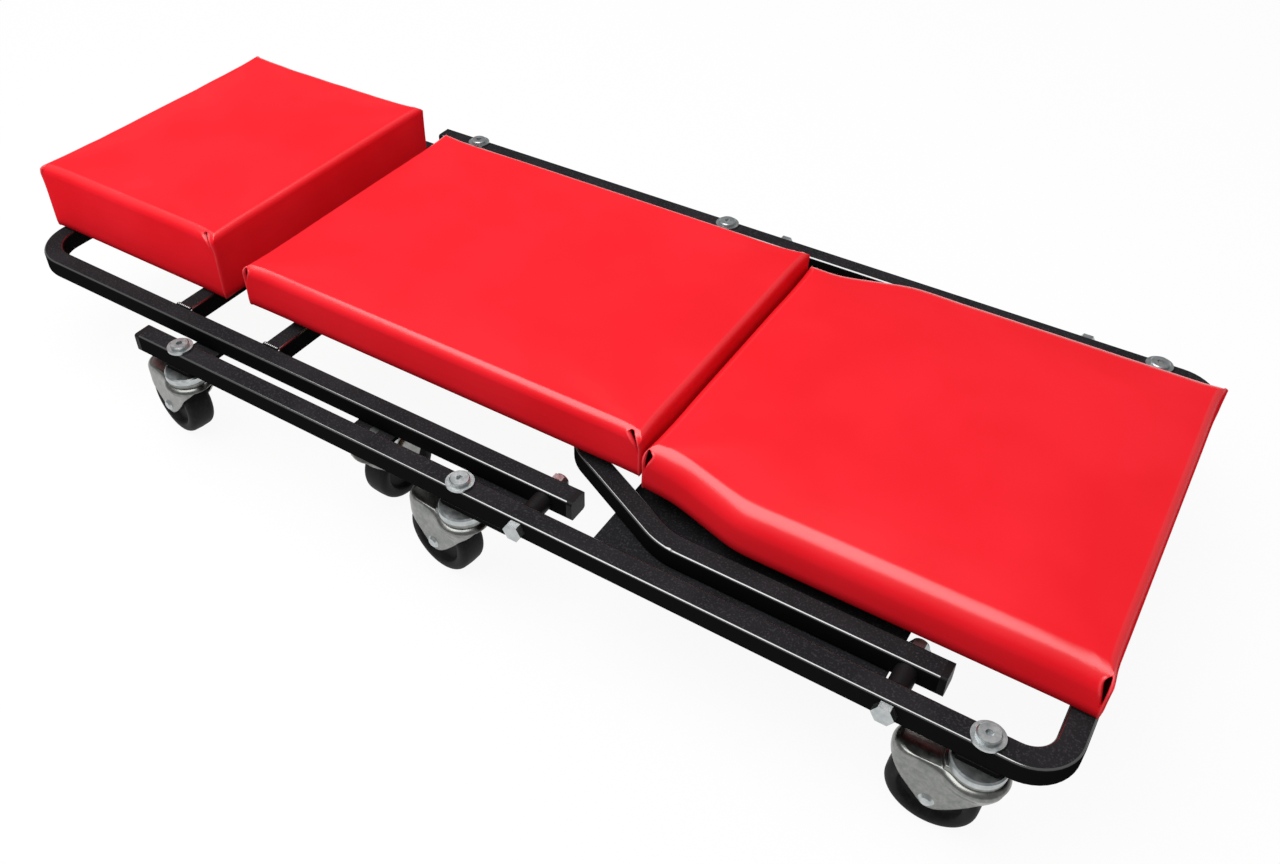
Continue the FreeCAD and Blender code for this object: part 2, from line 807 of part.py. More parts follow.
def make_caster_bolts():
    """Socket-head bolts with a washer flange, down through tube and plate into the stems."""
    bolts = []
    for number, x in enumerate(BOLTED):
        start = "caster_bolt_" + str(number)
        y = s.base_half_width
        low = s.caster_height - s.bolt_bite
        shank = cylinder(start + "_shank", s.bolt_diameter, tube_top - low, x, y, low)
        washer = cylinder(start + "_washer", s.bolt_washer_diameter, s.bolt_washer_height, x, y, tube_top)
        head_z = tube_top + s.bolt_washer_height
        plain = s.bolt_head_height - s.bolt_bevel
        head = cylinder(start + "_head", s.bolt_head_diameter, plain, x, y, head_z)
        bevel = cone(
            start + "_bevel", s.bolt_head_diameter, s.bolt_head_diameter - 2 * s.bolt_bevel,
            s.bolt_bevel, x, y, head_z + plain,
        )
        socket_z = head_z + s.bolt_head_height - s.bolt_socket_depth
        socket = hexagon(start + "_socket", s.bolt_socket, s.bolt_head_height, x, y, socket_z)
        solid = fuse(start + "_solid", [shank, washer, head, bevel])
        bolts.append(cut(start, solid, socket))
    both_sides("caster_bolts", group("caster_bolts_one", bolts))


def make_fork():
    """A sheet pressed to an upside-down U, with cheeks that taper to the axle."""
    body = doc.addObject("PartDesign::Body", "fork")
    roof = fork_roof
    corners = [
        (-s.fork_front_reach, roof),
        (s.fork_tip_reach, axle_height - s.fork_tip_drop),
        (s.fork_back_reach, roof - s.fork_back_drop),
        (s.fork_back_top, roof),
    ]
    side = sketch_on(body, "fork_side", "XZ_Plane")
    outline(side, corners, [s.fork_edge_round, s.fork_tip_round, s.fork_edge_round, s.fork_edge_round])
    pad = body.newObject("PartDesign::Pad", "fork_pad")
    pad.Profile = side
    pad.Midplane = True
    bind(pad, Length=s.fork_inner_width + 2 * s.fork_sheet)
    body.Tip = pad
    doc.recompute()
    high = (roof - s.fork_edge_round / 2).number
    edges = [
        "Edge" + str(n + 1)
        for n, edge in enumerate(pad.Shape.Edges)
        if edge.BoundBox.ZMin > high and edge.BoundBox.XLength > s.fork_front_reach.number
    ]
    soften = body.newObject("PartDesign::Fillet", "fork_soften")
    soften.Base = (pad, edges)
    bind(soften, Radius=s.fork_edge_round)
    body.Tip = soften
    slot = sketch_on(body, "fork_slot", "YZ_Plane")
    half = s.fork_inner_width / 2
    rectangle(slot, -half, ZERO, half, roof - s.fork_sheet, s.fork_sheet / 2)
    hollow = body.newObject("PartDesign::Pocket", "fork_hollow")
    hollow.Profile = slot
    hollow.Midplane = True
    hollow.Type = "Length"
    bind(hollow, Length=4 * s.fork_back_reach)
    body.Tip = hollow
    cup = cylinder("fork_cup", s.fork_collar_diameter, cup_top - roof, ZERO, ZERO, roof)
    blank = fuse("fork_blank", [body, cup])
    neck = cylinder("fork_neck", stem_hole, 2 * roof, ZERO, ZERO, ZERO)
    width = 2 * s.fork_inner_width
    hole = s.axle_diameter + 2 * s.axle_play
    eye = cylinder("fork_eye", hole, width, s.caster_trail, -width / 2, axle_height, "y")
    return cut("fork_master", blank, fuse("fork_drills", [neck, eye]))


def make_wheel():
    """A solid wheel with rounded shoulders and a dished web, spun about its axle."""
    body = doc.addObject("PartDesign::Body", "wheel")
    sketch = sketch_on(body, "wheel_profile", "XY_Plane")
    bore = s.axle_diameter / 2 + s.axle_play
    hub = s.hub_diameter / 2
    web = s.wheel_width / 2 - s.wheel_recess_depth
    recess = s.wheel_recess_diameter / 2
    side = s.wheel_width / 2
    tread = wheel_diameter / 2
    half = s.hub_length / 2
    corners = [
        (bore, -half), (hub, -half), (hub, -web), (recess, -web), (recess, -side), (tread, -side),
        (tread, side), (recess, side), (recess, web), (hub, web), (hub, half), (bore, half),
    ]
    radii = [ZERO] * 5 + [s.wheel_shoulder] * 2 + [ZERO] * 5
    outline(sketch, corners, radii)
    turn = body.newObject("PartDesign::Revolution", "wheel_turn")
    turn.Profile = sketch
    turn.ReferenceAxis = (sketch, ["V_Axis"])
    turn.Angle = 360
    return put(body, s.caster_trail, None, axle_height)


def make_axle():
    inner = s.fork_inner_width / 2 + s.fork_sheet
    shank = cylinder("axle_shank", s.axle_diameter, 2 * inner, s.caster_trail, -inner, axle_height, "y")
    flat = s.axle_head_diameter - 2 * s.axle_head_height
    far = cone("axle_far", s.axle_head_diameter, flat, s.axle_head_height, s.caster_trail, inner, axle_height, "y")
    near = cone(
        "axle_near", flat, s.axle_head_diameter, s.axle_head_height,
        s.caster_trail, -inner - s.axle_head_height, axle_height, "y",
    )
    return fuse("axle_master", [shank, far, near])


def make_casters():
    masters = [("caster_fork_", make_fork()), ("caster_wheel_", make_wheel()), ("caster_axle_", make_axle())]
    for name, x, y, angle in CASTERS:
        for start, master in masters:
            piece = group(start + name, [master])
            piece.Placement = Placement(Vector(), Rotation(Vector(0, 0, 1), angle.number))
            piece.setExpression("Placement.Rotation.Angle", angle.text + " * 1 deg")
            put(piece, x, y)
            keep(piece, start + name)


# Pivot bolts with their spacers and nuts, from the base tube's outer face inwards
def make_pivots():
    bolts, spacers, nuts = [], [], []
    nut_y = swing_inner - s.pivot_side_gap
    tip_y = nut_y - s.pivot_nut_height - s.pivot_nut_collar - s.pivot_tip
    for number, x in enumerate((back_pivot_place, link_pivot_place)):
        start = "pivot_" + str(number)
        shank = cylinder(start + "_shank", s.pivot_diameter, base_outer - tip_y, x, tip_y, tube_middle, "y")
        head = hexagon(start + "_head", s.pivot_flats, s.pivot_head_height, x, base_outer, tube_middle, "y")
        bolts.append(fuse(start + "_bolt", [shank, head]))
        length = base_inner - swing_outer - s.pivot_side_gap
        sleeve = cylinder(start + "_sleeve", s.spacer_diameter, length, x, base_inner - length, tube_middle, "y")
        bore_size = s.pivot_diameter + 2 * s.spacer_play
        bore = cylinder(start + "_bore", bore_size, length, x, base_inner - length, tube_middle, "y")
        spacers.append(cut(start + "_spacer", sleeve, bore))
        body = hexagon(start + "_hexagon", s.pivot_flats, s.pivot_nut_height, x, nut_y - s.pivot_nut_height,
                       tube_middle, "y")
        collar_y = nut_y - s.pivot_nut_height - s.pivot_nut_collar
        collar = cylinder(start + "_collar", s.pivot_nut_collar_diameter, s.pivot_nut_collar, x, collar_y,
                          tube_middle, "y")
        thread = cylinder(start + "_thread", pivot_hole, s.tube_side, x, collar_y, tube_middle, "y")
        nuts.append(cut(start + "_nut", fuse(start + "_nut_blank", [body, collar]), thread))
    both_sides("pivot_bolts", group("pivot_bolts_one", bolts))
    both_sides("pivot_spacers", group("pivot_spacers_one", spacers))
    both_sides("pivot_nuts", group("pivot_nuts_one", nuts))


# Foot pad support: a sheet tray across the undersides of the base tubes, and two rails on it
def make_foot_support():
    low_x = link_pivot_place - s.tray_setback - s.tray_length
    outer_y = base_outer - s.inner_plate_setback
    head_hole = s.screw_head_diameter + 2 * s.tray_hole_play
    holes = [(rail_screw_places[1], y, head_hole) for y in (-rail_half_span, rail_half_span)]
    tray = flat_plate(
        "foot_tray", s.tray_thick, low_x, -outer_y, low_x + s.tray_length, outer_y,
        s.plate_round, holes, tube_floor - s.tray_thick,
    )
    keep(tray, "foot_tray")
    low_x = link_bar_place + s.rail_inset
    length = foot_end - s.tube_side - low_x
    rail = straight_tube("rail_tube", "YZ_Plane", length, low_x + length / 2, rail_half_span, tube_middle)
    drills = [
        cylinder("rail_drill" + str(n), screw_hole, 2 * s.tube_side, x, rail_half_span, tube_middle - s.tube_side)
        for n, x in enumerate(rail_screw_places)
    ]
    both_sides("foot_rails", cut("foot_rails_one", rail, fuse("rail_drills", drills)))


rail_screw_places = [foot_end - s.rail_screw_setback, foot_end - s.rail_screw_setback - s.rail_screw_spacing]


# Pads: a board with a cushion moulded round it. Each cushion is drawn in at its foot,
# rounded at its upper edge and slightly crowned
def pad_outline(sketch, shape, inset, radius):
    low_x, high_x, half, neck = shape
    low_x, high_x, half = low_x + inset, high_x - inset, half - inset
    if not neck:
        rectangle(sketch, low_x, -half, high_x, half, radius)
        return
    front_half = foot_pad_front_half - inset
    neck_half = foot_pad_neck_half - inset
    neck_x = low_x + s.foot_pad_neck
    flare_x = low_x + s.foot_pad_taper
    side = [(low_x, front_half), (neck_x, neck_half), (flare_x, half), (high_x, half)]
    corners = [(x, -y) for x, y in side] + side[::-1]
    bend = s.foot_pad_taper_round
    outline(sketch, corners, [radius, bend, bend, radius, radius, bend, bend, radius])


def make_board(name, shape, floor):
    body = doc.addObject("PartDesign::Body", name + "_blank")
    sketch = sketch_on(body, name + "_sketch", "XY_Plane")
    pad_outline(sketch, shape, s.board_inset, s.board_round)
    pad = body.newObject("PartDesign::Pad", name + "_pad")
    pad.Profile = sketch
    bind(pad, Length=s.board_thick)
    return put(body, z=floor)


def make_cushion(label, shape, floor, thick, rim, board):
    edge = thick - s.pad_crown
    levels = [
        (ZERO, s.pad_foot_draw, s.pad_corner),
        (s.pad_foot_rise, ZERO, s.pad_corner),
        (edge - rim, ZERO, s.pad_corner),
        (edge - rim * 0.5, rim * 0.134, s.pad_corner),
        (edge - rim * 0.134, rim * 0.5, s.pad_corner),
        (edge, rim, s.pad_corner),
        (thick, s.pad_crown_inset, s.pad_corner),
    ]
    body = doc.addObject("PartDesign::Body", label + "_foam")
    sketches = []
    for number, (level, inset, radius) in enumerate(levels):
        sketch = sketch_on(body, label + "_level_" + str(number), "XY_Plane", level)
        pad_outline(sketch, shape, inset, radius)
        sketches.append(sketch)
    loft = body.newObject("PartDesign::AdditiveLoft", label + "_loft")
    loft.Profile = sketches[0]
    loft.Sections = sketches[1:]
    loft.Ruled = True
    put(body, z=floor)
    keep(cut(label, body, board), label)


def make_pads():
    head_shape = (head_end, head_end + head_pad_length, head_pad_half, False)
    seat_shape = (seat_pad_start, seat_pad_end, seat_pad_half, False)
    foot_shape = (foot_pad_start, foot_end, foot_pad_half, True)
    head = make_board("head_board", head_shape, head_floor)
    seat = make_board("seat_board", seat_shape, seat_floor)
    foot = make_board("foot_board", foot_shape, foot_floor)
    make_cushion("head_cushion", head_shape, head_floor, s.head_pad_thick, s.pad_edge_round, head)
    make_cushion("seat_cushion", seat_shape, seat_floor, s.seat_pad_thick, s.pad_edge_round, seat)
    make_cushion("foot_cushion", foot_shape, foot_floor, s.foot_pad_thick, s.foot_pad_edge_round, foot)

    spans = (-head_screw_half_span, head_screw_half_span)
    bars = (head_end + s.tube_side / 2, head_cross_place)
    drill_board("head_board", head, [(x, y) for x in bars for y in spans], head_floor, [])
    low = head_floor - s.tube_side
    screws = [
        screw("head_screw_" + str(n), x, y, low, s.tube_side + s.screw_bite)
        for n, (x, y) in enumerate((x, y) for x in bars for y in spans)
    ]
    keep(group("head_pad_screws", screws), "head_pad_screws")

    spans = (-rail_half_span, rail_half_span)
    places = [(x, y) for x in rail_screw_places for y in spans]
    drill_board("foot_board", foot, places, foot_floor, [])
    low = foot_floor - s.tube_side
    screws = [
        screw("foot_screw_" + str(n), x, y, low, s.tube_side + s.screw_bite)
        for n, (x, y) in enumerate(places)
    ]
    keep(group("foot_pad_screws", screws), "foot_pad_screws")

    places = ear_screw_places(back_pin_place) + ear_screw_places(link_pin_place)
    both = places + [(x, -y) for x, y in places]
    pockets = []
    for name, pin_x in (("back", back_pin_place), ("link", link_pin_place)):
        pocket = ear_base("seat_pocket_" + name, pin_x, ZERO)
        pockets += [pocket, mirror("seat_pocket_" + name + "_twin", pocket)]
    drill_board("seat_board", seat, both, seat_floor, pockets)
    screws = [
        screw("seat_screw_" + str(n), x, y, seat_floor, s.screw_bite)
        for n, (x, y) in enumerate(both)
    ]
    keep(group("seat_screws", screws), "seat_screws")


def drill_board(label, blank, places, floor, pockets):
    drills = [
        cylinder(label + "_drill" + str(n), screw_hole, s.screw_bite, x, y, floor)
        for n, (x, y) in enumerate(places)
    ]
    keep(cut(label, blank, fuse(label + "_drills", drills + pockets)), label)


make_base_frame()
make_end_plugs()
make_caster_plates()
make_foot_support()
make_back_frame()
make_link_frame()
make_hinge_lugs("back_hinge_lugs", back_pin_place)
make_hinge_lugs("link_hinge_lugs", link_pin_place)
make_seat_pins("back_seat_pins", back_pin_place)
make_seat_pins("link_seat_pins", link_pin_place)
make_seat_ears("seat_ears_back", back_pin_place, pin_hole)
make_seat_ears("seat_ears_link", link_pin_place, s.pin_diameter + 2 * s.open_pin_play)
make_caster_stems()
make_caster_bolts()
make_casters()
make_pivots()
make_pads()

doc.recompute()
for piece in doc.Objects:
    if "Invalid" in piece.State or "Error" in piece.State:
        raise RuntimeError(piece.Name + " failed: " + str(piece.State))
for piece in nodes:
    if piece.Shape.isNull() or not piece.Shape.isValid():
        raise RuntimeError(piece.Label + " has no valid shape")
os.makedirs("parts", exist_ok=True)
for piece in nodes:
    piece.Shape.exportStep("parts/" + piece.Label + ".step")
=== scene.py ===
import json

import bmesh
import bpy
import numpy as np
from mathutils import Matrix, Vector


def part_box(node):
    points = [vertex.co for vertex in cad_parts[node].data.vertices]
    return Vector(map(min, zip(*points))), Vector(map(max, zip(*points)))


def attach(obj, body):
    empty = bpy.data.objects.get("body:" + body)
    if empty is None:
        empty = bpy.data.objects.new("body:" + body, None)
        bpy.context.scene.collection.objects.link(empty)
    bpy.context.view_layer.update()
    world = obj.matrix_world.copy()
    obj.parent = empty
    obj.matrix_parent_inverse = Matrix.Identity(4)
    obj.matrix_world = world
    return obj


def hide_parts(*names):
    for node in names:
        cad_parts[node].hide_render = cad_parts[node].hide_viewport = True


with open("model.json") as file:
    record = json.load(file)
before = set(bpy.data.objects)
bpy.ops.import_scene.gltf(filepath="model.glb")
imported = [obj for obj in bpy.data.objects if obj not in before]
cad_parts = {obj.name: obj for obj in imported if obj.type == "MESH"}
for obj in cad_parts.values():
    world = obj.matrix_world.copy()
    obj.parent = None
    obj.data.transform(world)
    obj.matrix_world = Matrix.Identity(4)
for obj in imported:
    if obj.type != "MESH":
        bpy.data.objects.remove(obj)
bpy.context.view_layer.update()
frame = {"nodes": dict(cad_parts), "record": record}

# The photograph's camera: a hand-held view from above the foot end's right side.
# Yaw, pitch and roll are measured against the tubes and the casters' uprights.
yaw, pitch, roll = np.radians([33.81, 39.98, -0.70])
ahead = np.array([-np.sin(yaw) * np.cos(pitch), np.cos(yaw) * np.cos(pitch), -np.sin(pitch)])
right = np.array([np.cos(yaw), np.sin(yaw), 0.0])
above = np.cross(right, ahead)
rolled_right = right * np.cos(roll) + above * np.sin(roll)
rolled_above = above * np.cos(roll) - right * np.sin(roll)
lens = bpy.data.cameras.new("photograph_camera")
lens.sensor_width = 36
lens.lens = 33.89
lens.shift_x = 0.0459
lens.shift_y = -0.0381
lens.clip_start, lens.clip_end = 0.05, 50
camera = bpy.data.objects.new("photograph_camera", lens)
turned = Matrix(np.column_stack([rolled_right, rolled_above, -ahead]).tolist()).to_4x4()
turned.translation = Vector((0.4861, -0.7056, 0.7448))
camera.matrix_world = turned
bpy.context.scene.collection.objects.link(camera)
bpy.context.scene.camera = camera
bpy.context.scene.view_settings.view_transform = "Standard"


# Shader maths as Python expressions: a Field is one output socket of a material's node tree, and a
# Finish is the material whose surface its fields feed.
class Field:
    def __init__(self, finish, socket):
        self.finish, self.socket = finish, socket

    def math(self, operation, *others, first=None):
        values = [self, *others] if first is None else [first, self]
        return self.finish.node("ShaderNodeMath", {"operation": operation}, dict(enumerate(values)))

    def __add__(self, other):
        return self.math("ADD", other)

    __radd__ = __add__

    def __rsub__(self, other):
        return self.math("SUBTRACT", first=other)

    def __mul__(self, other):
        return self.math("MULTIPLY", other)

    def ramp(self, low, high):
        """Rises smoothly from 0 to 1 as the field goes from low to high."""
        return self.finish.node(
            "ShaderNodeMapRange", {"interpolation_type": "SMOOTHSTEP", "clamp": True},
            {"Value": self, "From Min": low, "From Max": high},
        )


class Finish:
    def __init__(self, name):
        self.material = bpy.data.materials.new(name)
        self.material.use_nodes = True
        self.tree = self.material.node_tree
        self.tree.nodes.clear()
        self.out = self.tree.nodes.new("ShaderNodeOutputMaterial")

    def node(self, kind, settings=None, sockets=None, out=0):
        """Adds one node: its settings come first, then the values or links of its sockets."""
        made = self.tree.nodes.new(kind)
        for name, value in (settings or {}).items():
            setattr(made, name, value)
        for name, value in (sockets or {}).items():
            if isinstance(value, Field):
                self.tree.links.new(value.socket, made.inputs[name])
            else:
                made.inputs[name].default_value = value
        return Field(self, made.outputs[out])

    def place(self):
        """Object coordinates: the row's own frame, in metres."""
        return self.node("ShaderNodeTexCoord", out="Object")

    def noise(self, size, detail=2.0, roughness=0.5, at=None, distortion=0.0):
        """Noise whose lumps are about size metres across."""
        return self.node(
            "ShaderNodeTexNoise", None,
            {"Vector": at or self.place(), "Scale": 1 / size, "Detail": detail, "Roughness": roughness,
             "Distortion": distortion},
        )

    def blend(self, amount, first, second):
        """Mixes two colours by a field. Inputs 6 and 7 and output 2 are the node's colour sockets."""
        return self.node(
            "ShaderNodeMix", {"data_type": "RGBA"},
            {"Factor": amount, 6: first, 7: second}, out=2,
        )

    def facing(self):
        """How far the surface faces up in the row's own frame, from -1 to 1."""
        normal = self.node("ShaderNodeTexCoord", out="Normal")
        return self.node("ShaderNodeSeparateXYZ", None, {0: normal}, out="Z")

    def upper_edges(self, side, edge, shoulder, top, on_top=0.0):
        """1 where the surface turns over from a side into the top, 0 on the sides, on_top above."""
        up = self.facing()
        return up.ramp(side, edge) * (1 - up.ramp(shoulder, top) * (1 - on_top))

    def bump(self, height, depth, strength):
        return self.node("ShaderNodeBump", None, {"Height": height, "Distance": depth, "Strength": strength})

    def surface(self, **sockets):
        """The Principled surface. Names use underscores for spaces."""
        shader = self.node(
            "ShaderNodeBsdfPrincipled", None, {k.replace("_", " "): v for k, v in sockets.items()}
        )
        self.tree.links.new(shader.socket, self.out.inputs["Surface"])
        return self.material


def dress(nodes, material):
    """Gives CAD nodes a finish in place of their plain one."""
    for node in nodes:
        shown = frame["nodes"][node]
        shown.data.materials.clear()
        shown.data.materials.append(material)


# Floor and light: a flat white floor under one large soft lamp in an even room, with a weak fill
# from the near side. Camera, glossy and transmission rays see the floor as mostly white, with the
# object's own soft shadow.
floor_white = 0.93
floor_finish = Finish("pale_floor")
rays = floor_finish.node("ShaderNodeLightPath", out="Is Camera Ray")
rays = rays + floor_finish.node("ShaderNodeLightPath", out="Is Glossy Ray")
rays = rays + floor_finish.node("ShaderNodeLightPath", out="Is Transmission Ray")
matt = floor_finish.node("ShaderNodeBsdfDiffuse", None, {"Color": (0.86, 0.86, 0.86, 1)})
glow = floor_finish.node("ShaderNodeEmission", None, {"Color": (1, 1, 1, 1), "Strength": 1.0})
share = floor_finish.node("ShaderNodeMath", {"operation": "MINIMUM"}, {0: rays, 1: 1.0}) * floor_white
floor_mix = floor_finish.node("ShaderNodeMixShader", None, {0: share, 1: matt, 2: glow})
floor_finish.tree.links.new(floor_mix.socket, floor_finish.out.inputs["Surface"])
floor_mesh = bpy.data.meshes.new("floor")
floor_mesh.from_pydata([(-9, -9, 0), (9, -9, 0), (9, 9, 0), (-9, 9, 0)], [], [(0, 1, 2, 3)])
floor_mesh.materials.append(floor_finish.material)
floor = bpy.data.objects.new("floor", floor_mesh)
bpy.context.scene.collection.objects.link(floor)

world = bpy.data.worlds.new("room")
bpy.context.scene.world = world
world.use_nodes = True
room = world.node_tree
room.nodes.clear()
seen = room.nodes.new("ShaderNodeLightPath")
levels = room.nodes.new("ShaderNodeMix")
room_light, backdrop_white = 0.336, 1.0
levels.inputs[2].default_value = room_light
levels.inputs[3].default_value = backdrop_white
room.links.new(seen.outputs["Is Camera Ray"], levels.inputs[0])
backdrop = room.nodes.new("ShaderNodeBackground")
backdrop.inputs["Color"].default_value = (1, 1, 1, 1)
room.links.new(levels.outputs[0], backdrop.inputs["Strength"])
room_out = room.nodes.new("ShaderNodeOutputWorld")
room.links.new(backdrop.outputs[0], room_out.inputs["Surface"])

for lamp_name, place, aim, size, watts, shines in (
    ("softbox_above", (-0.45, -0.30, 2.10), (0, -0.1, 0.1), (2.4, 2.0), 54, True),
    ("fill_near", (-0.30, -2.40, 1.00), (0, 0, 0.1), (2.6, 1.4), 7, False),
):
    lamp = bpy.data.lights.new(lamp_name, "AREA")
    lamp.shape = "RECTANGLE"
    lamp.size, lamp.size_y = size
    lamp.energy = watts
    holder = bpy.data.objects.new(lamp_name, lamp)
    holder.location = place
    holder.visible_glossy = shines
    holder.rotation_mode = "QUATERNION"
    holder.rotation_quaternion = (Vector(aim) - Vector(place)).to_track_quat("-Z", "Y")
    bpy.context.scene.collection.objects.link(holder)

# Square tubes, plates, tray, rails and lugs: welded steel under one coat of fine-textured black
# powder paint. Its gloss is kept to the upper edges, where the photograph has its bright lines, and
# what faces up is paler with small glints.
coat = Finish("black_powder_coat")
pebble = coat.noise(0.0011, 2.0, 0.6)
# speck marks the painted glints: small light spots put into the colour of the upward faces.
speck = coat.noise(0.0015, 3.0, 0.7).ramp(0.52, 0.68)
upward = coat.facing()
cloud = coat.noise(0.05, 2.0).ramp(0.35, 0.7)
painted_top_sheen = coat.blend(cloud, (0.0165, 0.0158, 0.0172, 1), (0.0225, 0.0212, 0.0235, 1))
top_with_painted_glints = coat.blend(speck, painted_top_sheen, (0.046, 0.044, 0.049, 1))
powder_black = coat.surface(
    # Painted sheen: faces that turn up take the lighter top colour with its painted glints, and the sides a
    # plain near-black. The cloud only varies the top's tone at random.
    Base_Color=coat.blend(upward.ramp(0.8, 1.0), (0.0065, 0.0065, 0.0066, 1), top_with_painted_glints),
    Roughness=0.40 + pebble * 0.14,
    Normal=coat.bump(pebble, 0.00010, 0.35),
    Specular_IOR_Level=0.0,
    Coat_Weight=coat.upper_edges(0.5, 0.7, 0.92, 0.97),
    Coat_Roughness=0.15,
    Coat_IOR=2.8,
)
dress(
    ["base_frame", "head_rest_plates", "mid_rest_plates", "foot_caster_plates", "inner_caster_plates",
     "foot_tray", "foot_rails", "back_frame", "back_cross_head", "back_cross_seat", "back_hinge_lugs",
     "link_frame", "link_hinge_lugs", "seat_ears_back", "seat_ears_link"],
    powder_black,
)

# Plugs and spacers: moulded black plastic, pushed into the tube ends and held by the pivot bolts.
moulded = Finish("black_moulded_plastic")
grain = moulded.noise(0.0009, 2.0)
dress(
    ["base_end_plugs", "back_end_plugs", "link_end_plugs", "pivot_spacers"],
    moulded.surface(
        Base_Color=(0.007, 0.007, 0.0075, 1), Roughness=0.40 + grain * 0.14,
        Normal=moulded.bump(grain, 0.00004, 0.4), Specular_IOR_Level=0.12,
    ),
)

# Bolts, nuts, screws, pins and caster races: turned or headed steel with bright zinc plating,
# clouded in patches that differ a little in colour and gloss.
zinc = Finish("bright_zinc")
stain = zinc.noise(0.006, 3.0, 0.6)
drawn = zinc.noise(0.0007, 2.0)
plating = zinc.blend(stain.ramp(0.3, 0.75), (0.40, 0.43, 0.44, 1), (0.57, 0.59, 0.59, 1))
zinc_plate = zinc.surface(
    Base_Color=plating, Metallic=1.0, Roughness=0.24 + stain * 0.18,
    Normal=zinc.bump(drawn, 0.00003, 0.5),
)
dress(
    ["foot_pad_screws", "head_pad_screws", "seat_screws", "caster_stems", "caster_bolts", "pivot_bolts",
     "pivot_nuts", "back_seat_pins", "link_seat_pins"],
    zinc_plate,
)

# Casters: how each one stands, from its swivel's and its wheel's joints. Its shapes are made with
# the swivel at the origin and the wheel trailing towards +X, then turned and moved into place.
places = {joint["name"]: np.array(joint["pos_m"]) for joint in frame["record"]["behaviour"]["joints"]}
casters = [node[len("caster_fork_"):] for node in frame["nodes"] if node.startswith("caster_fork_")]


def smooth_step(value, low, high):
    """0 below low and 1 above high, with a soft S between them."""
    share = np.clip((value - low) / (high - low), 0, 1)
    return share * share * (3 - 2 * share)


def swept_rings(rings, joined=False):
    """Faces of a grid whose rows are closed loops. The last row is joined to the first one if asked."""
    rows, count = rings.shape[:2]
    index = np.arange(rows * count).reshape(rows, count)
    if joined:
        index = np.concatenate([index, index[:1]])
    following = np.roll(index, -1, axis=1)
    return np.stack([index[:-1], index[1:], following[1:], following[:-1]], axis=-1).reshape(-1, 4)


def add_to_caster(name, kind, rings, material, joined=False):
    """Turns a shape of closed rings to the caster's resting angle and rides it in the CAD piece's place."""
    swivel, axle = places["swivel_" + name], places["spin_" + name]
    forward = (axle - swivel)[:2] / np.linalg.norm((axle - swivel)[:2])
    spots = rings.reshape(-1, 3).copy()
    spots[:, 0] = swivel[0] + rings[..., 0].ravel() * forward[0] - rings[..., 1].ravel() * forward[1]
    spots[:, 1] = swivel[1] + rings[..., 0].ravel() * forward[1] + rings[..., 1].ravel() * forward[0]
    faces = swept_rings(rings, joined)
    mesh = bpy.data.meshes.new(f"{kind}_{name}")
    mesh.from_pydata(spots.tolist(), [], faces.tolist())
    mesh.polygons.foreach_set("use_smooth", np.ones(len(faces), dtype=bool))
    mesh.materials.append(material)
    shape = bpy.data.objects.new(f"{kind}_{name}", mesh)
    bpy.context.scene.collection.objects.link(shape)
    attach(shape, f"{kind}_{name}")
    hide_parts(f"caster_{kind}_{name}")
    return shape


# Weld beads round the ends of the back frame's cross tubes, under the same paint: short ropes of
# overlapping drops, half sunk in the corner between the cross tube and the side tube.
def bead_rings(first, last, radius=0.0019, drop=0.0021, gap=0.00035):
    """A tube from first to last whose radius swells over each drop as |sin(pi * way / drop)|.

    Its rings are a gap apart, and both of its ends are rounded off.
    """
    length = np.linalg.norm(last - first)
    along = (last - first) / length
    beside = np.cross(along, (0.3, 0.8, 0.5))
    beside /= np.linalg.norm(beside)
    upright = np.cross(along, beside)
    way = np.linspace(0, length, int(round(length / gap)) + 1)
    thick = radius * (0.74 + 0.26 * np.abs(np.sin(np.pi * way / drop)))
    thick *= np.sqrt(1 - np.clip(1 - np.minimum(way, length - way) / radius, 0, 0.999) ** 2)
    turn = np.linspace(0, 2 * np.pi, 12, endpoint=False)
    round_it = np.cos(turn)[:, None] * beside + np.sin(turn)[:, None] * upright
    return first + way[:, None, None] * along + thick[:, None, None] * round_it


weld_rings = []
for node in ("back_cross_head", "back_cross_seat"):
    (x_low, y_low, z_low), (x_high, y_high, z_high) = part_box(node)
    end_corners = ((x_low, z_low), (x_high, z_low), (x_high, z_high), (x_low, z_high))
    for y in (y_low, y_high):
        seam = [np.array([x, y, z]) for x, z in end_corners]
        for corner in range(4):
            weld_rings.append(bead_rings(seam[corner], seam[(corner + 1) % 4]))
bead_faces, bead_count = [], 0
for rings in weld_rings:
    bead_faces.append(swept_rings(rings) + bead_count)
    bead_count += rings.shape[0] * rings.shape[1]
bead_mesh = bpy.data.meshes.new("weld_beads")
bead_spots = np.concatenate([rings.reshape(-1, 3) for rings in weld_rings])
bead_mesh.from_pydata(bead_spots.tolist(), [], np.concatenate(bead_faces).tolist())
capped = bmesh.new()
capped.from_mesh(bead_mesh)
bmesh.ops.holes_fill(capped, edges=[edge for edge in capped.edges if edge.is_boundary])
bmesh.ops.recalc_face_normals(capped, faces=capped.faces)
capped.to_mesh(bead_mesh)
capped.free()
bead_mesh.polygons.foreach_set("use_smooth", np.ones(len(bead_mesh.polygons), dtype=bool))
bead_mesh.materials.append(powder_black)
weld_beads = bpy.data.objects.new("weld_beads", bead_mesh)
bpy.context.scene.collection.objects.link(weld_beads)
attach(weld_beads, "back")


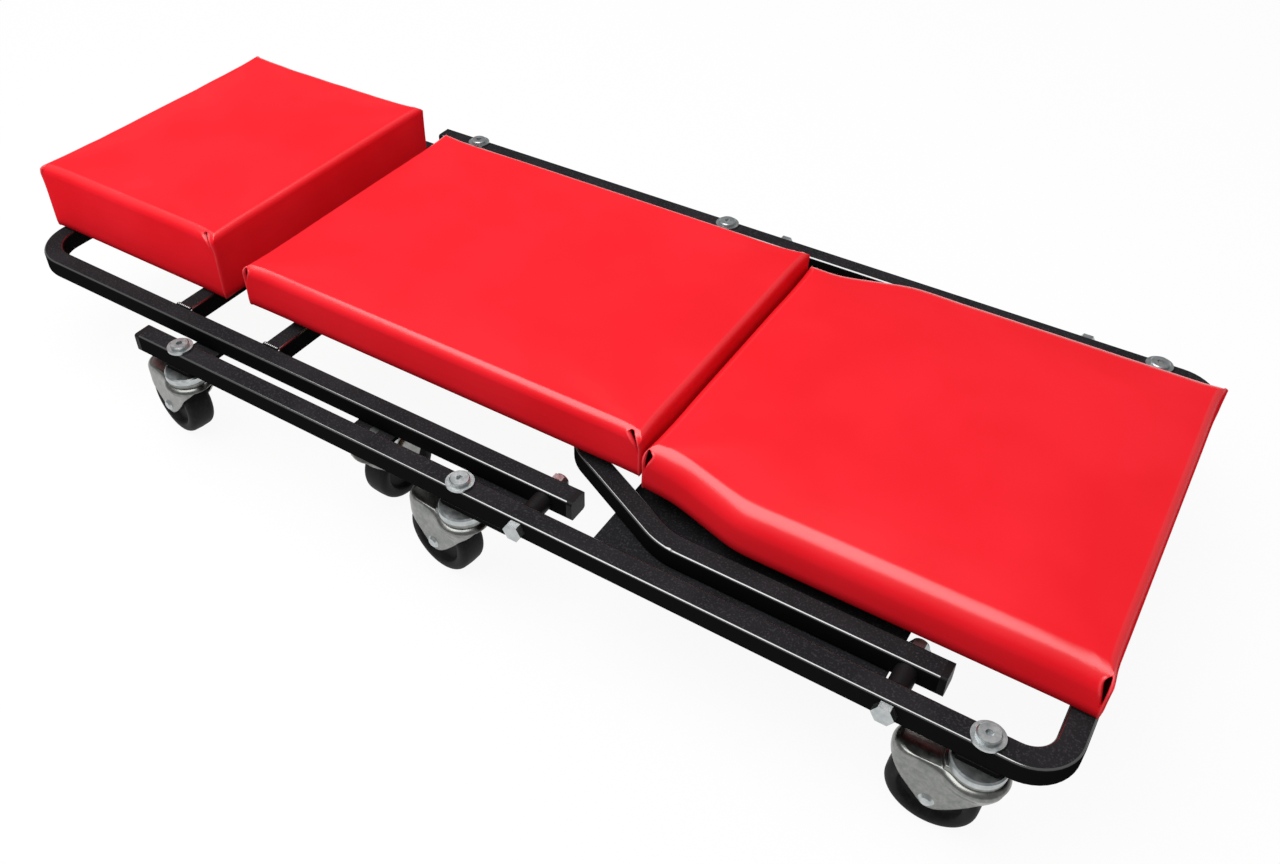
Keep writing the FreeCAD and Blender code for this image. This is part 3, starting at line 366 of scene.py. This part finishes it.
# Caster forks: zinc-plated sheet pressed in one piece, gone greyer than the bolts. A raised ring
# carries the race, and the roof rolls over into cheeks that run in to the wheel and down to a rivet.
# The inner casters' forks keep the CAD's reach, because a longer nose would show past the back
# tube, where the photograph shows nothing.
def fork_rings(reach, climb_slope):
    """The fork's outer skin, as rings round the swivel from the race's seat out and down to its rim.

    In plan the rim is a slot shape, 31.4 mm wide with round ends, that trails as far as reach from
    the swivel, and the roof is the larger of that and a disc round the race. The skin rolls over at
    the roof's edge, then draws in to the rim by a soft S. The rim's height falls along a hollow
    curve to the rivet and rises behind it by climb_slope, which keeps the nose clear of the wheel.
    """
    half, front, disc, roof, roll = 0.0157, -0.0043, 0.0226, 0.068, 0.007
    rivet_height, rim_top, ring_far = 0.024, 0.064, 0.0213
    fall_start, fall_run, fall_height, climb_start = 0.019, 0.037, 0.040, 0.0225
    back = reach - half
    straight, round_end = back - front, np.pi * half
    walk = np.linspace(0, 2 * (straight + round_end), 160, endpoint=False)
    turned = np.clip(walk, 0, round_end) + np.clip(walk - round_end - straight, 0, round_end)
    turn = turned / half - np.pi / 2
    returned = np.clip(walk - 2 * round_end - straight, 0, straight)
    centre = back - np.clip(walk - round_end, 0, straight) + returned
    plan = np.stack([centre + half * np.cos(turn), half * np.sin(turn)], axis=1)
    rim_far = np.hypot(*plan.T)
    heading = plan / rim_far[:, None]
    roof_far = (rim_far ** 10 + disc ** 10) ** 0.1
    fall = rivet_height + fall_height * np.clip((fall_start - plan[:, 0]) / fall_run, 0, 1) ** 1.3
    climb = rivet_height + np.maximum(plan[:, 0] - climb_start, 0) * climb_slope
    rim = np.minimum((fall ** 14 + climb ** 14) ** (1 / 14), rim_top)
    rings = []
    raised_ring = (
        (0.0160, 0.0715), (0.0200, 0.0715), (0.0208, 0.0713), (0.0212, 0.0708),
        (0.0213, 0.0695), (0.0215, 0.0686), (0.0220, 0.0681),
    )
    share = np.minimum(1, (roof_far - roll * 0.75) / ring_far)
    for far, height in raised_ring:
        rings.append(np.column_stack([heading * (far * share)[:, None], np.full(len(plan), height)]))
    for step in np.linspace(0, 1, 28):
        down = (roof - rim) * step ** 1.8
        rolled_out = roof_far - roll + np.sqrt(roll ** 2 - np.maximum(roll - down, 0) ** 2)
        far = rolled_out - (roof_far - rim_far) * smooth_step(down, 0.001, 0.019)
        rings.append(np.column_stack([heading * far[:, None], roof - down]))
    return np.array(rings)


pressed = Finish("pressed_zinc_sheet")
mottle = pressed.noise(0.004, 4.0, 0.65)
sheet_zinc = pressed.surface(
    Base_Color=pressed.blend(mottle.ramp(0.3, 0.75), (0.19, 0.20, 0.19, 1), (0.30, 0.30, 0.285, 1)),
    Metallic=1.0, Roughness=0.22 + mottle * 0.16,
    Normal=pressed.bump(mottle, 0.00005, 0.4),
)
for name in casters:
    reach, climb_slope = (0.049, 1.85) if name.startswith("inner") else (0.055, 1.06)
    fork = add_to_caster(name, "fork", fork_rings(reach, climb_slope), sheet_zinc)
    wall = fork.modifiers.new("sheet", "SOLIDIFY")
    wall.thickness = 0.0022
    wall.offset = -1
dress(["caster_axle_" + name for name in casters], zinc_plate)


# Caster wheels: hard black rubber with round shoulders and a dished centre, scuffed in patches.
def wheel_rings():
    """The wheel as a turned shape: pairs of reach from the middle plane and radius, swept round."""
    trail, axle_height = 0.0215, 0.032
    shoulder = np.linspace(0, np.pi / 2, 9)
    section = [
        (0.0118, 0.0037), (0.0122, 0.0041), (0.0122, 0.0078), (0.0112, 0.0086),
        (0.0070, 0.0094), (0.0062, 0.0104), (0.0062, 0.0195), (0.0070, 0.0208),
        (0.0105, 0.0220), (0.0114, 0.0226), (0.0121, 0.0240),
    ]
    section += [(0.0066 + 0.0057 * np.cos(a), 0.0262 + 0.0055 * np.sin(a)) for a in shoulder]
    section += [(0.0035, 0.0319), (0.0, 0.0320)]
    section = np.array(section + [(-reach, radius) for reach, radius in section[-2::-1]])
    turn = np.linspace(0, 2 * np.pi, 72, endpoint=False)
    rings = np.empty((len(section), len(turn), 3))
    rings[..., 0] = trail + section[:, 1:] * np.cos(turn)
    rings[..., 1] = section[:, :1]
    rings[..., 2] = axle_height - section[:, 1:] * np.sin(turn)
    return rings


tyre = Finish("hard_black_rubber")
scuff = tyre.noise(0.003, 4.0, 0.7)
rubber = tyre.surface(
    Base_Color=tyre.blend(scuff.ramp(0.45, 0.8), (0.0060, 0.0060, 0.0065, 1), (0.018, 0.018, 0.019, 1)),
    Roughness=0.5 + scuff * 0.2, Normal=tyre.bump(scuff, 0.0001, 0.4), Specular_IOR_Level=0.15,
)
for name in casters:
    add_to_caster(name, "wheel", wheel_rings(), rubber, joined=True)

# Pad boards: bare plywood with its grain along the creeper.
ply = Finish("bare_plywood")
along = ply.node("ShaderNodeMapping", None, {"Vector": ply.place(), "Scale": (6, 90, 90)})
fibre = ply.noise(1.0, 4.0, 0.6, at=along, distortion=0.6)
dress(
    ["head_board", "seat_board", "foot_board"],
    ply.surface(
        Base_Color=ply.blend(fibre.ramp(0.3, 0.7), (0.36, 0.23, 0.12, 1), (0.52, 0.37, 0.21, 1)),
        Roughness=0.7, Normal=ply.bump(fibre, 0.0002, 0.4),
    ),
)

# Cushions: blocks of foam on the boards under smooth red vinyl that is pulled tight and folded at
# the corners like a parcel. The foam swells the cover a little between its edges.
vinyl = Finish("red_vinyl")
leathery = vinyl.noise(0.0016, 3.0, 0.55)
wave = vinyl.noise(0.09, 2.0)
mouth_mark = vinyl.node("ShaderNodeAttribute", {"attribute_name": "fold_mouth"}, out="Fac")
lip_mark = vinyl.node("ShaderNodeAttribute", {"attribute_name": "fold_lip"}, out="Fac")
hem_mark = vinyl.node("ShaderNodeAttribute", {"attribute_name": "hem"}, out="Fac")
cherry = vinyl.blend(wave.ramp(0.3, 0.7), (0.80, 0.012, 0.020, 1), (0.84, 0.016, 0.026, 1))
# Painted shade: the cover darkens towards its bottom edge, fully within a millimetre of it and fading out 10
# mm up.
hem_painted_shade = vinyl.blend(hem_mark * 0.7, cherry, (0.12, 0.001, 0.003, 1))
# Painted highlight: a pale line along each fold's lip and, more faintly, along the ridge beyond its mouth.
lip_painted_highlight = vinyl.blend(lip_mark * 0.75, hem_painted_shade, (0.92, 0.14, 0.16, 1))
red_vinyl = vinyl.surface(
    # Painted shade: inside each fold's mouth the colour goes nearly black, and the coat is also taken off
    # there.
    Base_Color=vinyl.blend(mouth_mark.ramp(0.15, 0.6), lip_painted_highlight, (0.02, 0.0, 0.0005, 1)),
    Roughness=0.26 + leathery * 0.06,
    Normal=vinyl.bump(leathery, 0.00004, 0.12),
    Specular_IOR_Level=0.0,
    Coat_Weight=vinyl.upper_edges(0.45, 0.9, 0.97, 0.998, on_top=0.22) * (1 - mouth_mark),
    Coat_Roughness=0.27,
    Coat_IOR=1.62,
)


def uneven_steps(low, high, close, fine, coarse):
    """Places from low to high: fine steps within close of either end, coarse ones between."""
    near = np.linspace(0, close, int(round(close / fine)) + 1)
    steps = max(1, int(round((high - low - 2 * close) / coarse)))
    middle = np.linspace(low + close, high - close, steps + 1)
    return np.concatenate([low + near, middle[1:-1], high - near[::-1]])


def box_lattice(places):
    """Corners and faces of a box whose six sides are grids on the given places along each axis."""
    corners, faces, count = [], [], 0
    for axis in range(3):
        first, second = [a for a in range(3) if a != axis]
        rows, columns = len(places[first]), len(places[second])
        for side in (0, -1):
            grid = np.empty((rows, columns, 3))
            grid[..., axis] = places[axis][side]
            grid[..., first] = places[first][:, None]
            grid[..., second] = places[second][None, :]
            index = count + np.arange(rows * columns).reshape(rows, columns)
            ring = np.stack([index[:-1, :-1], index[1:, :-1], index[1:, 1:], index[:-1, 1:]], axis=-1)
            corners.append(grid.reshape(-1, 3))
            outward = (side == -1) != (axis == 1)
            faces.append((ring if outward else ring[..., ::-1]).reshape(-1, 4))
            count += rows * columns
    corners, faces = np.concatenate(corners), np.concatenate(faces)
    microns = np.round(corners * 1e6).astype(np.int64)
    _, kept, merged = np.unique(microns, axis=0, return_index=True, return_inverse=True)
    return corners[kept], merged.reshape(-1)[faces]


def even_width(x):
    """A pad whose long sides are parallel."""
    return np.ones_like(x)


def flared_width(x):
    """The foot pad's share of its full width at x: narrow by the seat, flaring in a soft S."""
    full = 0.167
    run = np.linspace(0.150, 0.520, 186)
    side = np.interp(run, [0.1644, 0.1944, 0.2524, 0.508], [0.146, 0.149, full, full]) / full
    for _ in range(30):
        side[1:-1] = (side[:-2] + 2 * side[1:-1] + side[2:]) / 4
    return np.interp(x, run, side)


def rolled(apart, depth, radius):
    """Where a spot's distance from a side lands when the side rolls over into the top.

    A square edge becomes a quarter circle: spots on the side move in, and those on the top move in
    less the further they are from the edge, so that both halves of the arc have even spots.
    """
    left, under = np.maximum(radius - apart, 0), np.maximum(radius - depth, 0)
    return np.where(apart < radius, radius - left * radius / np.hypot(radius, left * under / radius), apart)


def arc_depth(apart, radius):
    """How far the quarter circle lies below the top at a distance from the side."""
    left = np.clip(radius - apart, 0, radius)
    return radius - np.sqrt(radius * radius - left * left)


def pad_block(spots, low, high, end_roll, side_roll, crown, width):
    """The spots of a box put on a block of foam with a rolled top edge and nearly square corners.

    The ends roll over by one radius and the long sides by another. The upright corners are rounded
    a little, the foot is drawn in round a small edge, the top rises to its crown, and the sides are
    scaled to the pad's width.
    """
    middle, half = (low + high) / 2, (high - low) / 2
    sign = np.sign(spots[:, :2] - middle[:2])
    apart = half[:2] - np.abs(spots[:, :2] - middle[:2])
    depth = high[2] - spots[:, 2]
    from_end = rolled(apart[:, 0], depth, end_roll)
    from_side = rolled(apart[:, 1], depth, side_roll)
    rounded = np.maximum(arc_depth(from_end, end_roll), arc_depth(from_side, side_roll))
    depth = np.maximum(rounded, depth)
    foot_round, corner_round, tuck, tuck_reach, crown_run = 0.0032, 0.0030, 0.0012, 0.012, 0.060
    rise = spots[:, 2] - low[2]
    inset = arc_depth(rise, foot_round) + tuck * (1 - smooth_step(rise, 0, tuck_reach))
    from_end = np.where(from_end < tuck_reach, inset + from_end * (1 - inset / tuck_reach), from_end)
    from_side = np.where(from_side < tuck_reach, inset + from_side * (1 - inset / tuck_reach), from_side)
    reach = np.stack([np.maximum(corner_round - from_end, 0), np.maximum(corner_round - from_side, 0)])
    cut = np.minimum(1, corner_round / np.maximum(np.hypot(*reach), 1e-9))
    from_end = np.where(reach[0] > 0, corner_round - reach[0] * cut, from_end)
    from_side = np.where(reach[1] > 0, corner_round - reach[1] * cut, from_side)
    shaped = np.empty_like(spots)
    shaped[:, 0] = middle[0] + sign[:, 0] * (half[0] - from_end)
    shaped[:, 1] = middle[1] + sign[:, 1] * (half[1] - from_side)
    level = smooth_step(spots[:, 2], middle[2], high[2])
    inner = smooth_step(np.minimum(from_end, from_side), 0, crown_run)
    shaped[:, 2] = high[2] - depth + crown * level * inner
    shaped[:, 1] *= width(shaped[:, 0])
    return shaped


def swell(name, spots, faces, rise):
    """How inflated cloth moves from each spot when it is held at its foot, scaled to rise at most."""
    held_height, settling_frames = 0.006, 20
    mesh = bpy.data.meshes.new(name + "_loose")
    mesh.from_pydata(spots.tolist(), [], faces.tolist())
    loose = bpy.data.objects.new(name + "_loose", mesh)
    bpy.context.scene.collection.objects.link(loose)
    foot = loose.vertex_groups.new(name="foot")
    held = np.nonzero(spots[:, 2] < spots[:, 2].min() + held_height)[0]
    foot.add(held.tolist(), 1.0, "REPLACE")
    cloth = loose.modifiers.new("vinyl", "CLOTH")
    cloth.settings.use_pressure = True
    cloth.settings.uniform_pressure_force = 4.0
    cloth.settings.vertex_group_mass = "foot"
    cloth.settings.effector_weights.gravity = 0
    cloth.settings.mass = 0.5
    cloth.settings.quality = 6
    for frame_number in range(1, settling_frames + 1):
        bpy.context.scene.frame_set(frame_number)
    shape = loose.evaluated_get(bpy.context.evaluated_depsgraph_get())
    moved = np.empty(len(spots) * 3)
    shape.data.vertices.foreach_get("co", moved)
    moved = moved.reshape(-1, 3) - spots
    bpy.context.scene.frame_set(1)
    bpy.data.objects.remove(loose)
    bpy.data.meshes.remove(mesh)
    return moved * (rise / np.linalg.norm(moved, axis=1).max())


def carried(spots, sources, moves, count=24, reach=0.006, batch=2000):
    """The moves of the nearest sources, averaged by exp(-(distance / reach) ** 2) at each spot."""
    result = np.empty_like(spots)
    lengths = (sources ** 2).sum(axis=1)
    for start in range(0, len(spots), batch):
        part = spots[start:start + batch]
        apart = (part ** 2).sum(axis=1)[:, None] + lengths - 2 * part @ sources.T
        near = np.argpartition(apart, count, axis=1)[:, :count]
        apart = np.take_along_axis(apart, near, axis=1)
        weight = np.exp((apart.min(axis=1)[:, None] - apart) / reach ** 2)
        total = (moves[near] * weight[..., None]).sum(axis=1)
        result[start:start + len(part)] = total / weight.sum(axis=1)[:, None]
    return result


def folded_corner(spots, marks, low, high, width, end, side, hook, mouth, height, start, ear):
    """Moves the spots of one long side near one end into the parcel fold of the pad's corner.

    The cover's end laps round the corner to a lip, a thin rolled ridge that runs down the side close
    to the corner and hooks away from it at the top, so it stands lip_place from the corner and
    hook * exp(-depth / hook_fade) more. Below the hook the fold's mouth is pushed in: a teardrop as
    wide as mouth at a depth of height below start, by the curve s * exp(1 - s). The full corner
    stands out by the ear. The marks record how far each spot is in the mouth and on a lip.
    """
    lip_place, hook_fade, ear_reach = 0.0024, 0.0045, 0.016
    ridge_rise, lap_rise, far_rise, mouth_depth = 0.0008, 0.0005, 0.0006, 0.006
    from_corner = (high[0] - spots[:, 0]) if end > 0 else (spots[:, 0] - low[0])
    depth = np.maximum(high[2] - spots[:, 2], 0)
    across = side * spots[:, 1] / width(spots[:, 0])
    share = smooth_step(across, high[1] - 0.016, high[1] - 0.008)
    share *= 1 - smooth_step(from_corner, 0.024, 0.032)
    bend = hook * np.exp(-depth / hook_fade)
    beyond = (from_corner - lip_place - bend) / np.hypot(1, bend / hook_fade)
    fallen = np.maximum(depth - start, 0) / height
    opening = mouth * fallen * np.exp(1 - fallen)
    inside = smooth_step(beyond, -0.0001, 0.0006)
    inside *= 1 - smooth_step(beyond, opening * 0.7, opening + 0.0005)
    inside *= smooth_step(opening, 0.0003, 0.0012)
    ridge = np.exp(-((beyond + 0.0007) / 0.0007) ** 2) * smooth_step(depth, 0.0005, 0.002)
    ridge *= 0.4 + 0.6 * np.exp(-depth / 0.015)
    lapped = 1 - smooth_step(beyond, -0.0008, 0.0002)
    far_ridge = np.exp(-((beyond - opening - 0.0012) / 0.0009) ** 2) * smooth_step(opening, 0.001, 0.003)
    standing = ridge_rise * ridge + lap_rise * lapped + far_rise * far_ridge - mouth_depth * inside
    spots[:, 1] += side * share * standing
    marks[:, 0] = np.maximum(marks[:, 0], share * inside)
    marks[:, 1] = np.maximum(marks[:, 1], share * np.maximum(ridge, 0.4 * far_ridge))
    full = np.exp(-((from_corner / ear_reach) ** 2 + ((high[1] - across) / ear_reach) ** 2))
    full *= 0.45 + 0.55 * np.exp(-(depth / ear_reach) ** 2)
    spots[:, 0] += end * ear * full
    spots[:, 1] += side * ear * full


PADS = {
    "head_cushion": dict(body="back", low=(-0.5096, -0.145, 0.1015), high=(-0.2752, 0.145, 0.1697),
                         end_roll=0.0060, side_roll=0.0090, crown=0.0015, width=even_width,
                         folds={
                             -1: dict(hook=0.003, mouth=0.001, height=0.004, start=0.003, ear=0.0014),
                             1: dict(hook=0.012, mouth=0.0042, height=0.0042, start=0.001, ear=0.001),
                         }),
    "seat_cushion": dict(body="seat", low=(-0.2456, -0.144, 0.1076), high=(0.1620, 0.144, 0.1500),
                         end_roll=0.0060, side_roll=0.0090, crown=0.0015, width=even_width,
                         folds={
                             -1: dict(hook=0.001, mouth=0.0036, height=0.0035, start=0.002, ear=0.001),
                             1: dict(hook=0.009, mouth=0.0046, height=0.0035, start=0.001, ear=0.001),
                         }),
    "foot_cushion": dict(body="base", low=(0.1644, -0.167, 0.1006), high=(0.5080, 0.167, 0.1405),
                         end_roll=0.0080, side_roll=0.0170, crown=0.0015, width=flared_width,
                         folds={
                             -1: dict(hook=0.001, mouth=0.0050, height=0.0035, start=0.003, ear=0.001),
                             1: dict(hook=0.002, mouth=0.0040, height=0.0052, start=0.0035, ear=0.0014),
                         }),
}

for node, pad in PADS.items():
    low, high = np.array(pad["low"]), np.array(pad["high"])
    lattice, faces = box_lattice([
        uneven_steps(low[0], high[0], close=0.018, fine=0.0005, coarse=0.006),
        uneven_steps(low[1], high[1], close=0.018, fine=0.0009, coarse=0.006),
        uneven_steps(low[2], high[2], close=0.016, fine=0.0006, coarse=0.0025),
    ])
    form = (pad["end_roll"], pad["side_roll"], pad["crown"], pad["width"])
    spots = pad_block(lattice, low, high, *form)
    shrink, plain_step = 0.0015, 0.006
    plain_low, plain_high = low + shrink, high - shrink
    counts = [int(round(length / plain_step)) + 1 for length in plain_high - plain_low]
    plain, plain_faces = box_lattice([
        np.linspace(plain_low[axis], plain_high[axis], counts[axis]) for axis in range(3)
    ])
    plain = pad_block(plain, plain_low, plain_high, *form)
    moved = swell(node, plain, plain_faces, rise=0.0035)
    spots = spots + carried(spots, plain, moved)
    marks = np.zeros((len(spots), 3))
    # The third mark is the painted shade along the foot of the cover.
    marks[:, 2] = 1 - smooth_step(lattice[:, 2] - low[2], 0.001, 0.010)
    for end, fold in pad["folds"].items():
        for side in (-1, 1):
            folded_corner(spots, marks, low, high, pad["width"], end, side, **fold)
    mesh = bpy.data.meshes.new(node + "_cover")
    mesh.from_pydata(spots.tolist(), [], faces.tolist())
    mesh.polygons.foreach_set("use_smooth", np.ones(len(faces), dtype=bool))
    for number, name in enumerate(("fold_mouth", "fold_lip", "hem")):
        mark = mesh.attributes.new(name, "FLOAT", "POINT")
        mark.data.foreach_set("value", marks[:, number].astype(np.float32))
    mesh.materials.append(red_vinyl)
    cover = bpy.data.objects.new(node + "_cover", mesh)
    bpy.context.scene.collection.objects.link(cover)
    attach(cover, pad["body"])
    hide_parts(node)
